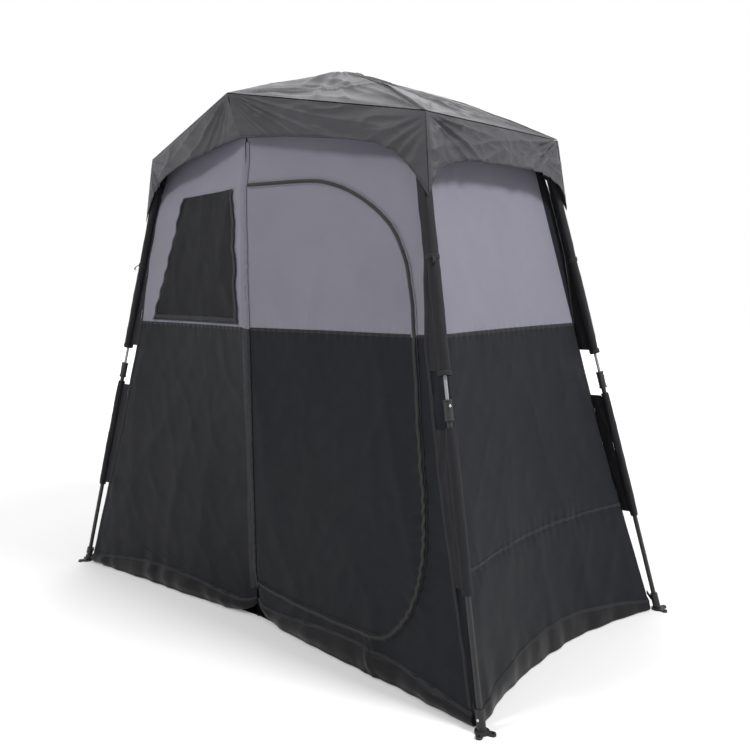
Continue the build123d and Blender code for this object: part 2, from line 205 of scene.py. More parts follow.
def wave_node(tree, vector, direction, scale):
    """Bands across one direction."""
    inputs = {"Scale": scale, "Distortion": 0.4, "Detail": 1.0, "Vector": vector}
    return add_node(tree, "TexWave", inputs, bands_direction=direction).outputs["Fac"]


def tint_node(tree, factor, first, second):
    """Colour mixed between two sockets or colours."""
    inputs = {0: factor, 6: first, 7: second}
    return add_node(tree, "Mix", inputs, data_type="RGBA").outputs[2]


def build_weave_group():
    """Plain weave: crossing threads, slow shade changes, fine creases and faint dust."""
    group, given, end = new_group(
        "weave",
        {
            "Vector": None, "Place": None, "Colour": (0.5, 0.5, 0.5, 1),
            "Thread": 260.0, "Crease": 0.5, "Roughness": 0.7,
        },
        ("Colour", "Roughness", "Height"),
    )
    warp = wave_node(group, given["Vector"], "X", given["Thread"])
    weft = wave_node(group, given["Vector"], "Y", given["Thread"])
    threads = math_node(group, "MULTIPLY", warp, weft)
    broad = noise_node(group, given["Place"], 3.2, 4.0)
    fine = noise_node(group, given["Place"], 34.0, 5.0, 0.62)
    crumple = noise_node(group, given["Place"], 11.0, 6.0, 0.6)
    shade = math_node(group, "MULTIPLY_ADD", broad, 0.24, 0.88)
    grain = math_node(group, "MULTIPLY_ADD", threads, 0.16, 0.93)
    level = math_node(group, "MULTIPLY", shade, grain)
    tone = {0: given["Colour"], "Scale": level}
    scaled = add_node(group, "VectorMath", tone, operation="SCALE").outputs[0]
    dust = math_node(group, "MULTIPLY", fine, 0.015)
    folds = math_node(group, "MULTIPLY", crumple, given["Crease"])
    feed(group, end, {
        "Colour": tint_node(group, dust, scaled, (0.35, 0.34, 0.33, 1)),
        "Roughness": math_node(group, "MULTIPLY_ADD", crumple, 0.22, given["Roughness"]),
        "Height": math_node(group, "MULTIPLY_ADD", threads, 0.05, folds),
    })
    return group


def build_stitch_group():
    """Two rows of thread dashes along a tape whose U runs lengthwise and V across."""
    group, given, end = new_group("stitches", {"Vector": None, "Row": 0.0035}, ["Mask"])
    split = add_node(group, "SeparateXYZ", {0: given["Vector"]}).outputs
    along = math_node(group, "FRACT", math_node(group, "MULTIPLY", split[0], 240.0))
    dash = math_node(group, "LESS_THAN", along, 0.72)
    across = math_node(group, "ABSOLUTE", split[1])
    off = math_node(group, "ABSOLUTE", math_node(group, "SUBTRACT", across, given["Row"]))
    line = math_node(group, "LESS_THAN", off, 0.00055)
    feed(group, end, {"Mask": math_node(group, "MULTIPLY", dash, line)})
    return group


def build_grain_group():
    """Fine moulded or coated grain with paler worn spots."""
    group, given, end = new_group(
        "grain",
        {
            "Place": None, "Colour": (0.1, 0.1, 0.1, 1), "Worn": (0.3, 0.3, 0.3, 1),
            "Roughness": 0.5,
        },
        ("Colour", "Roughness", "Height"),
    )
    grain = noise_node(group, given["Place"], 900.0, 2.0)
    patch = noise_node(group, given["Place"], 45.0, 5.0, 0.65)
    worn = math_node(group, "MULTIPLY", math_node(group, "POWER", patch, 4.0), 0.55)
    feed(group, end, {
        "Colour": tint_node(group, worn, given["Colour"], given["Worn"]),
        "Roughness": math_node(group, "MULTIPLY_ADD", patch, 0.2, given["Roughness"]),
        "Height": grain,
    })
    return group


GROUPS = {}
MATERIALS = {}


def start_material(name):
    """A new material with its shader, and the coordinates its patterns read."""
    material = bpy.data.materials.new(name)
    material.use_nodes = True
    tree = material.node_tree
    shader = tree.nodes["Principled BSDF"]
    MATERIALS[name] = material
    return tree, shader, tree.nodes.new("ShaderNodeTexCoord").outputs


def add_bump(tree, shader, height, strength, distance):
    """Turn a height into the shader's normal."""
    inputs = {"Strength": strength, "Distance": distance, "Height": height}
    feed(tree, shader, {"Normal": add_node(tree, "Bump", inputs).outputs[0]})


def fabric_material(name, colour, roughness, thread=260.0, crease=0.5, stitched=None, gloss=0.22):
    """Woven cloth; stitched gives the thread's colour on a tape."""
    tree, shader, coordinates = start_material(name)
    woven = {
        "Vector": coordinates["UV"], "Place": coordinates["Object"], "Colour": (*colour, 1),
        "Thread": thread, "Crease": crease, "Roughness": roughness,
    }
    weave = add_node(tree, "Group", woven, node_tree=GROUPS["weave"]).outputs
    tone, height = weave["Colour"], weave["Height"]
    if stitched:
        dashes = add_node(
            tree, "Group", {"Vector": coordinates["UV"]}, node_tree=GROUPS["stitches"]
        )
        mask = dashes.outputs["Mask"]
        tone = tint_node(tree, mask, tone, (*stitched, 1))
        height = math_node(tree, "ADD", height, mask)
    feed(tree, shader, {
        "Base Color": tone, "Roughness": weave["Roughness"], "Specular IOR Level": gloss,
        "Sheen Weight": 0.03, "Sheen Roughness": 0.4,
    })
    add_bump(tree, shader, height, 0.6, 0.0032)


def solid_material(name, colour, worn, roughness, metallic=0.0, coat=0.0):
    """Moulded plastic, powder coat or bare steel."""
    tree, shader, coordinates = start_material(name)
    coated = {
        "Place": coordinates["Object"], "Colour": (*colour, 1), "Worn": (*worn, 1),
        "Roughness": roughness,
    }
    grain = add_node(tree, "Group", coated, node_tree=GROUPS["grain"]).outputs
    feed(tree, shader, {
        "Base Color": grain["Colour"], "Roughness": grain["Roughness"],
        "Metallic": metallic, "Coat Weight": coat,
    })
    add_bump(tree, shader, grain["Height"], 0.25, 0.0003)


class TENT_OT_materials(bpy.types.Operator):
    """Make the cloth, tape, plastic and metal finishes"""

    bl_idname = "tent.materials"
    bl_label = "Materials"

    def execute(self, context):
        colours = context.scene.tent_colours
        GROUPS["weave"] = build_weave_group()
        GROUPS["stitches"] = build_stitch_group()
        GROUPS["grain"] = build_grain_group()
        fabric_material("wall_cloth", colours.wall, 0.48, crease=0.8)
        fabric_material("lower_cloth", colours.lower, 0.36, crease=0.8, gloss=0.07)
        fabric_material("fly_cloth", colours.fly, 0.36, crease=1.4)
        fabric_material("floor_cloth", colours.floor, 0.24, crease=0.8, gloss=0.10)
        fabric_material("sleeve_cloth", colours.trim, 0.5, crease=0.9, gloss=0.14)
        fabric_material("mesh_cloth", (0.012, 0.012, 0.013), 0.7, thread=140.0)
        fabric_material("window_cloth", (0.0085, 0.0090, 0.0105), 0.5, crease=0.5, gloss=0.07)
        tape = {"thread": 420.0, "crease": 0.3}
        fabric_material("grey_tape", (0.155, 0.150, 0.185), 0.6, stitched=(0.10, 0.10, 0.12), **tape)
        fabric_material("dark_tape", colours.lower, 0.5, stitched=(0.020, 0.020, 0.023), **tape)
        fabric_material("fly_tape", (0.045, 0.045, 0.050), 0.55, stitched=(0.09, 0.09, 0.10), **tape)
        fabric_material("zip_tape", (0.009, 0.009, 0.011), 0.5, stitched=(0.024, 0.024, 0.028), **tape)
        fabric_material("webbing", (0.012, 0.012, 0.013), 0.62, 520.0, 0.2, stitched=(0.04, 0.04, 0.04))
        solid_material("zip_coil", (0.005, 0.005, 0.006), (0.010, 0.010, 0.011), 0.6)
        solid_material("bare_rod", (0.30, 0.30, 0.32), (0.16, 0.16, 0.17), 0.36, metallic=0.6)
        solid_material("tube_coat", colours.frame, (0.05, 0.05, 0.05), 0.45, coat=0.08)
        solid_material("moulded", (0.012, 0.012, 0.013), (0.05, 0.05, 0.05), 0.45)
        solid_material("bright_steel", (0.62, 0.62, 0.64), (0.8, 0.8, 0.8), 0.24, metallic=1.0)
        return {"FINISHED"}


# ---- making pieces ----

ABOVE, FRONT = Vector((0, 0, 1)), Vector((0, -1, 0))


def put_in_scene(mesh, name, *materials):
    """Object from a bmesh, smooth shaded, with its materials in order."""
    data = bpy.data.meshes.new(name)
    for face in mesh.faces:
        face.smooth = True
    mesh.to_mesh(data)
    mesh.free()
    piece = bpy.data.objects.new(name, data)
    bpy.context.scene.collection.objects.link(piece)
    for material in materials:
        data.materials.append(MATERIALS[material])
    return piece


def make_cloth(
    name, segments, size, place, outwards, materials, hole=None, paint=None, finish=None,
):
    """Sheet from a grid: place(u, v) sets each crossing, hole(u, v) drops squares,
    paint(u, v) picks a square's material and finish(piece) runs last. size is flat."""
    mesh = bmesh.new()
    bmesh.ops.create_grid(mesh, x_segments=segments[0], y_segments=segments[1], size=0.5)
    spots = {vert: (vert.co.x + 0.5, vert.co.y + 0.5) for vert in mesh.verts}
    layer = mesh.loops.layers.uv.new("fabric")
    unwanted = []
    for face in mesh.faces:
        middle = face.calc_center_median()
        u, v = middle.x + 0.5, middle.y + 0.5
        if hole and hole(u, v):
            unwanted.append(face)
        if paint:
            face.material_index = paint(u, v)
        for loop in face.loops:
            s, t = spots[loop.vert]
            loop[layer].uv = ((s - 0.5) * size[0], (t - 0.5) * size[1])
    for vert, (u, v) in spots.items():
        vert.co = place(u, v)
    bmesh.ops.delete(mesh, geom=unwanted, context="FACES")
    mesh.normal_update()
    facing = sum(face.normal.dot(outwards) * face.calc_area() for face in mesh.faces)
    if facing < 0:
        bmesh.ops.reverse_faces(mesh, faces=mesh.faces[:])
    piece = put_in_scene(mesh, name, *materials)
    if finish:
        finish(piece)
    return piece


def hang(piece, body, slot, fold=None, stands_for=()):
    """Ride on a body, take its own mesh when a fold is given, and stand for CAD nodes."""
    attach(piece, body)
    if fold:
        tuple(fold[1])
        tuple(fold[2])
        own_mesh(piece)
    if stands_for:
        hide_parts(*stands_for)


def make_tape(hung, width, *cloth, rests_on=(), **choices):
    """Make and hang a narrow cloth; its width is not used."""
    tape = make_cloth(*cloth, **choices)
    hang(tape, *hung)


def turned(point, sides):
    """A point of the back right quarter, moved to another quarter."""
    return Vector((point.x * sides[0], point.y * sides[1], point.z))


FOLD = "frame_fold"
GATHER = 0.05


def wall_gather(sides, along):
    """Squash across the leg, within a wall that runs along X or Y from it."""
    run = turned(LEG_RUN, sides)
    across = Vector((1, 0, 0)) if along == "x" else Vector((0, 1, 0))
    across = (across - run * across.dot(run)).normalized()
    return FOLD, tuple(across), tuple(turned(PIVOT, sides)), GATHER


def seam_gather():
    """Squash of the door and its seam strip, in line with the leg that the strip slides to."""
    _, across, _, keep = wall_gather(CORNERS["front_right"], "x")
    return FOLD, across, tuple(DOOR_HINGE), keep


# ---- surfaces: each gives a point on a panel, lifted off it by a little ----


def corner_inset(z):
    """How far the walls' corner stands in from the leg, as a share of its inset higher up."""
    return 0.5 + 0.5 * blend_line(z, 0.05, 0.6)


def leg_edge_x(z):
    """Where a long wall ends, beside its leg; it draws closer to the leg in the upper half."""
    return leg_at(z).x - (0.056 - 0.034 * blend_line(z, 1.02, 1.30)) * corner_inset(z)


def leg_edge_y(z):
    """Depth of a long wall's edge, just inside the leg's line."""
    return leg_at(z).y - 0.004


def end_edge(z):
    """Half width of an end wall, and how far it stands in from the leg."""
    return leg_at(z).y - 0.002 - 0.053 * corner_inset(z), 0.030 * corner_inset(z)


DOOR_SEAM = 0.008
DOOR_FOOT_Z, DOOR_TOP_Z = 0.125, 1.545
DOOR_CURVE = [
    (0.125, 0.600), (0.135, 0.665), (0.168, 0.705), (0.215, 0.745), (0.260, 0.770), (0.323, 0.793),
    (0.405, 0.803), (0.507, 0.800), (0.605, 0.788), (0.737, 0.764), (0.886, 0.739), (0.992, 0.725),
    (1.079, 0.711), (1.205, 0.690), (1.302, 0.657), (1.383, 0.604), (1.446, 0.528), (1.499, 0.436),
    (1.530, 0.350), (1.545, 0.270),
]


def door_edge(z):
    """How far the door reaches from the middle seam at a height."""
    return follow(z, DOOR_CURVE)


def long_wall_depth(x, z, seed, sizes, has_door):
    """Wrinkles of a front or back wall, measured outwards."""
    edge = leg_edge_x(z)
    near_seam = exp(-abs(x) / 0.022)
    near_leg = exp(-max(0.0, edge - x) / 0.05)
    near_colour = exp(-abs(z - sizes.seam_z) / 0.018)
    depth = sizes.fold_depth * wave(x * 2.1, z * 1.3, seed)
    depth += 0.40 * sizes.fold_depth * ridge(x * 3.4 + z * 1.1, z * 1.2 - x * 0.8, seed + 3)
    depth += 0.16 * sizes.fold_depth * ridge(x * 6 - z * 3.2, z * 3.1 + x * 2, seed + 7)
    depth += 0.0010 * wave(x * 22, z * 19, seed + 1)
    uneven = 0.5 + 0.9 * wave(z * 9, 6, seed)
    depth += uneven * sizes.pucker * near_seam * sin(tau * z / 0.040 + 5 * wave(z * 7, 0, seed))
    depth += 0.7 * sizes.pucker * near_colour * sin(tau * x / 0.030 + 3 * wave(x * 8, 1, seed))
    depth += 0.0040 * near_leg * sin(tau * z / 0.16 + 5 * wave(z * 3, 2, seed))
    low = exp(-max(0.0, z - sizes.hem_z) / 0.07)
    depth += 0.007 * low * wave(x * 16, z * 6, seed + 5)
    if has_door:
        near_zip = exp(-abs(x - door_edge(max(0.126, z))) / 0.03) * blend_line(z, 1.0, 0.5)
        around = atan2(z - 0.42, x - 0.45)
        depth += 0.0035 * near_zip * sin(58 * around + 4 * wave(around * 5, 0, seed))
        depth += 0.0015 * near_zip
    return depth


def hem_at(share, sizes):
    """Height of the floor seam at a share of the way along a wall."""
    return sizes.hem_z * (0.42 + 0.58 * sin(pi * min(1.0, max(0.0, share))))


def floor_roll(z, share, seed, sizes):
    """Outward swell of the floor cloth below its seam."""
    hem = hem_at(share, sizes)
    if z >= hem:
        return 0.0
    t = 1 - z / hem
    return sin(pi * min(1.0, 0.10 + t)) * (0.012 + 0.010 * wave(share * 9, 0.3, seed))


def long_wall(sides, sizes):
    """Surface of a front or back wall: x from the middle seam, z up."""
    seed = 10 + 3 * sides[0] + 5 * sides[1]

    def surface(x, z, lift=0.0):
        edge = leg_edge_x(z)
        share = x / edge
        y = MID_WALL_Y - 0.001 + (leg_edge_y(z) - MID_WALL_Y) * share
        y -= 0.012 * sin(pi * min(1, max(0, share))) * blend_line(z, 0.05, 0.5)
        depth = long_wall_depth(x, z, seed, sizes, sides == CORNERS["front_right"])
        depth *= min(1, 0.15 + (edge - x) / 0.05) * (1 - 0.85 * blend_step(z, 1.5, 1.63))
        y -= 0.014 * blend_step(z, 1.5, 1.66)
        depth += floor_roll(z, share, seed, sizes)
        pinch = exp(-x / 0.045) * max(0.0, 1 - z / (2.2 * sizes.hem_z))
        height = z + 0.06 * pinch
        y -= 0.03 * pinch
        return turned(Vector((x, y + depth + lift, max(0.0035, height))), sides)

    return surface


END_BOW = 0.105


def end_wall(side, sizes):
    """Surface of an end wall: y across, z up."""
    seed = 40 + side

    def surface(y, z, lift=0.0):
        half, inset = end_edge(z)
        bow = 1 - min(1.0, (y / half) ** 2)
        down = blend_line(z, END_WALL_TOP, 0.0)
        x = leg_at(z).x - inset - bow * (END_BOW - inset) * down ** 1.3
        inside = min(1.0, 0.1 + (half - abs(y)) / 0.05)
        depth = 0.9 * sizes.fold_depth * wave(y * 2.4, z * 1.4, seed)
        depth += 0.35 * sizes.fold_depth * ridge(y * 3.6 + z, z * 1.5 - y, seed + 2)
        depth += 0.15 * sizes.fold_depth * ridge(y * 7 - z * 3, z * 3.2, seed + 4)
        depth += 0.0010 * wave(y * 22, z * 19, seed + 1)
        gather_z = 0.40 - 0.02 * (y / 0.5) ** 2 + 0.006 * wave(y * 5, 3, seed)
        near = exp(-abs(z - gather_z) / 0.030) * (0.5 + 0.9 * wave(y * 8, 7, seed))
        depth += 1.3 * sizes.pucker * near * sin(tau * y / 0.040 + 5 * wave(y * 6, 5, seed))
        depth -= 0.007 * exp(-abs(z - gather_z) / 0.012)
        colour = exp(-abs(z - sizes.seam_z) / 0.018)
        depth += 0.7 * sizes.pucker * colour * sin(tau * y / 0.030 + 3 * wave(y * 8, 1, seed))
        low = exp(-max(0.0, z - sizes.hem_z) / 0.07)
        depth += 0.007 * low * wave(y * 16, z * 6, seed + 5)
        depth = depth * inside + 0.3 * floor_roll(z, 0.5 + y / (2 * half), seed, sizes)
        return Vector(((x + depth + lift) * side, y, max(0.0035, z)))

    return surface


SKIRT_EDGE = [
    (0, 1.702), (0.2, 1.686), (0.44, 1.654), (0.55, 1.632), (0.62, 1.602), (0.67, 1.557),
    (0.71, 1.509), (0.741, 1.461),
]
SKIRT_END_EDGE = [(0, 1.586), (0.2, 1.581), (0.28, 1.568), (0.34, 1.545), (0.38, 1.503), (0.398, 1.461)]
SKIRT_TIP = Vector((0.741, 0.397, 1.461))
SKIRT_MID_Y = SKIRT_TIP.y + 0.089


def fan(x, y, count, seed, aim=0.35, spread=0.35):
    """Creases that spread from a point where x and y are zero, thickest along one angle."""
    angle = atan2(y, x)
    reach = hypot(x, y)
    crest = 1 - abs(sin(count * angle / 2 + 2.2 * wave(angle * 3, reach * 2.5, seed)))
    near = exp(-(((angle - aim) / spread) ** 2) - reach / 0.42)
    return (2 * crest ** 1.5 - 0.7) * near * blend_step(reach, 0.02, 0.10)


def long_skirt(sides):
    """Surface of a front or back skirt: x share from the seam to the corner, t down it."""
    seed = 70 + 3 * sides[0] + 5 * sides[1]

    def surface(share, t, lift=0.0):
        top = PEAK_TOP.lerp(CORNER_TOP, share)
        low = Vector((SKIRT_TIP.x * share, SKIRT_MID_Y + (SKIRT_TIP.y - SKIRT_MID_Y) * share, 0))
        low.z = follow(low.x, SKIRT_EDGE)
        point = top.lerp(low, t)
        drop = top.z - point.z
        edge = min(1.0, 0.08 + 7 * t) * min(1.0, 0.1 + 9 * (1 - share))
        depth = 0.0085 * fan(point.x + 0.03, drop + 0.012, 44, seed)
        depth += 0.006 * fan(CORNER_TOP.x - point.x + 0.05, drop + 0.02, 26, seed + 2, 0.9, 0.6)
        depth += 0.005 * wave(point.x * 5, drop * 6, seed + 4)
        depth += 0.0045 * ridge(point.x * 7 + drop * 9, drop * 12 - point.x * 3, seed + 6)
        depth += 0.0020 * exp(-point.x / 0.02) * sin(tau * point.z / 0.03)
        depth += 0.004 * sin(pi * t) + 0.003 * t * wave(point.x * 7, 2, seed)
        depth = max(depth, -0.003 - 0.03 * (1 - t))
        return turned(point + Vector((0, depth * edge + lift, 0)), sides)

    return surface


def end_skirt(sides):
    """Surface of half an end skirt: share from the corner to the end's middle, t down it."""
    seed = 90 + 3 * sides[0]

    def surface(share, t, lift=0.0):
        top = CORNER_TOP.lerp(Vector((CORNER_TOP.x, 0, CORNER_TOP.z)), share)
        low = Vector((SKIRT_TIP.x, SKIRT_TIP.y * (1 - share), 0))
        low.z = follow(low.y, SKIRT_END_EDGE)
        point = top.lerp(low, t)
        drop = top.z - point.z
        y = point.y * sides[1]
        edge = min(1.0, 0.08 + 7 * t) * min(1.0, 0.1 + 12 * share)
        depth = 0.012 * fan(CORNER_TOP.y - point.y + 0.02, drop + 0.015, 26, seed, 0.4, 0.4)
        depth += 0.006 * wave(y * 5, drop * 6, seed + 4)
        depth += 0.0065 * ridge(y * 6 + drop * 9, drop * 12 - y * 3, seed + 6)
        depth += 0.0030 * ridge(y * 17 - drop * 12, drop * 20 + y * 6, seed + 8)
        depth += 0.005 * sin(pi * t) + 0.003 * t * wave(y * 7, 2, seed)
        return turned(point + Vector((depth * edge + lift, 0, 0)), sides)

    return surface


# ---- pieces ----

FLY_BODIES = {
    "front_left": "arm_front_left",
    "front_right": "arm_front_middle",
    "back_right": "arm_back_right",
    "back_left": "arm_back_middle",
}
CROWN_RADIUS = 0.080
CORNER_BOW, PEAK_BOW = 0.027, 0.007


def facet_surface(first, second, bows, seed):
    """Roof facet between two hips: share runs from one to the other, t from hub to eave.
    bows gives how far each hip arches above a straight line."""
    apex = Vector((0, 0, FLY_HIGH.z))
    normal = (first - apex).cross(second - apex).normalized()
    if normal.z < 0:
        normal.negate()

    def surface(share, t, lift=0.0):
        eave = first.lerp(second, share)
        reach = 0.002 + 0.998 * t ** 1.15
        point = apex.lerp(eave, reach)
        span = sin(pi * share)
        out = hypot(point.x, point.y)
        depth = -0.012 * span * sin(pi * min(1, reach)) * blend_step(out, 0.08, 0.3)
        depth += 0.008 * span * wave(share * 4, reach * 2.2, seed)
        depth += 0.009 * span * ridge(share * 5 + reach, reach * 2.6 - share * 2, seed + 2)
        for corner, other in ((first, second), (second, first)):
            along = (other - corner).normalized()
            back = (apex - corner) - along * (apex - corner).dot(along)
            spot = point - corner
            x, y = spot.dot(along) + 0.02, spot.dot(back.normalized()) + 0.02
            depth += 0.007 * fan(x, y, 24, seed + corner.x, 0.45, 0.35)
        fade = min(1.0, 8 * (1 - t) + 0.05) * blend_step(out, 0.0, 0.12)
        crown = 0.003 + 0.24 * out * exp(-((out / CROWN_RADIUS) ** 2))
        crown += (bows[0] + (bows[1] - bows[0]) * share) * sin(pi * min(1, reach))
        return point + normal * (depth * fade + lift) + Vector((0, 0, crown))

    return surface


class TENT_OT_fly(bpy.types.Operator):
    """Make the roof: six facets drawn over the hub, and the hip tapes"""

    bl_idname = "tent.fly"
    bl_label = "Fly roof"

    def execute(self, context):
        self.make_long_facets()
        self.make_end_facets()
        return {"FINISHED"}

    def make_facet(self, name, body, first, second, bows, seed, arm):
        surface = facet_surface(first, second, bows, seed)
        size = ((second - first).length, ((first + second) / 2).xy.length)
        piece = make_cloth(f"roof_{name}", (54, 64), size, surface, ABOVE, ["fly_cloth"])
        across = Vector((-arm.y, arm.x, 0)).normalized()
        fold = FOLD, tuple(across), (0, 0, HUB_PIN.z), GATHER
        hang(piece, body, "fly_fabric", fold, [f"fly_{name}"])
        hips = [("a", 0.0)] if name.endswith("end") else []
        hips += [("b", 1.0)] if name in ("front_right", "back_left", "right_end", "left_end") else []
        for label, share in hips:
            self.make_hip_tape(f"roof_tape_{name}_{label}", surface, share, body, fold)

    def make_hip_tape(self, name, surface, share, body, fold):
        """Narrow felled seam along a hip."""
        half = 0.006

        def place(u, v):
            t = 0.02 + 0.98 * u
            inwards = 1 if share < 0.5 else -1
            width = half * 2 * v / (0.05 + 0.7 * t)
            return surface(share + inwards * width, t, 0.0012 + 0.0006 * sin(pi * v))

        hung = body, "fly_fabric", fold
        size = 0.8, 0.012
        make_tape(hung, 0.012, name, (70, 4), size, place, ABOVE, ["fly_tape"], rests_on=[body])

    def make_long_facets(self):
        for name, body in FLY_BODIES.items():
            sides = CORNERS[name]
            arm = turned(HUB_PIN, sides) if "middle" not in body else Vector((0, sides[1], 0))
            first, second = turned(PEAK_TOP, sides), turned(CORNER_TOP, sides)
            bows = PEAK_BOW, CORNER_BOW
            self.make_facet(name, body, first, second, bows, 20 + sides[0] + 2 * sides[1], arm)

    def make_end_facets(self):
        for name, body, side in (
            ("right_end", "arm_front_right", 1), ("left_end", "arm_back_left", -1),
        ):
            first, second = turned(CORNER_TOP, (side, -1)), turned(CORNER_TOP, (side, 1))
            arm = turned(HUB_PIN, (side, -side))
            self.make_facet(name, body, first, second, (CORNER_BOW, CORNER_BOW), 27 + side, arm)


class TENT_OT_skirts(bpy.types.Operator):
    """Make the fly's hanging skirts and the binding along their edges"""

    bl_idname = "tent.skirts"
    bl_label = "Fly skirts"

    def execute(self, context):
        for name, sides in CORNERS.items():
            body = f"upper_leg_{name}"
            ways = (
                ("long", long_skirt(sides), Vector((0, sides[1], 0)), (110, 40), 0.76, "x"),
                ("end", end_skirt(sides), Vector((sides[0], 0, 0)), (64, 40), 0.42, "y"),
            )
            for kind, surface, outwards, segments, width, along in ways:
                piece = make_cloth(
                    f"skirt_{kind}_{name}", segments, (width, 0.2),
                    surface, outwards, ["fly_cloth"],
                )
                fold = wall_gather(sides, along)
                stands_for = [f"skirt_{name}"] if kind == "long" else []
                hang(piece, body, "fly_fabric", fold, stands_for)
                self.make_binding(f"skirt_binding_{kind}_{name}", surface, outwards, width, body, fold)
            self.make_corner_tape(name, sides, body)
        return {"FINISHED"}

    def make_corner_tape(self, name, sides, body):
        """Felled seam down the skirt's corner."""
        surface = end_skirt(sides)

        def place(u, v):
            return surface(0.002 + 0.032 * v, 0.99 * u, 0.0012 + 0.0010 * sin(pi * v))

        make_tape(
            (body, "fly_fabric", wall_gather(sides, "y")), 0.012,
            f"skirt_corner_tape_{name}", (60, 4), (0.25, 0.013), place, Vector((sides[0], 0, 0)),
            ["fly_tape"],
        )

    def make_binding(self, name, surface, outwards, width, body, fold):
        """Folded tape round the lower edge, standing a little proud."""

        def place(u, v):
            angle = pi * v
            t = 1.0 - 0.055 * abs(cos(angle)) ** 0.7 if v != 0.5 else 1.0
            side = 1 if v < 0.5 else -1
            lift = 0.0018 * side * abs(cos(angle)) ** 0.5
            return surface(u, t + 0.004, lift)

        hung = body, "fly_fabric", fold
        make_tape(hung, 0.024, name, (150, 8), (width, 0.024), place, outwards, ["fly_tape"])


WALL_COLUMNS = (64, 40)
MESH_SPAN, MESH_INNER_X = (1.068, 1.53), -0.10
WALL_TOP_Z = 1.688
WALL_ROWS = [(0, 0.004), (14, DOOR_FOOT_Z), (150, DOOR_TOP_Z), (12, WALL_TOP_Z)]


def wall_top(x):
    """Top edge of a long wall, under the skirt."""
    return 1.712 - 0.045 * (x / 0.66) ** 2


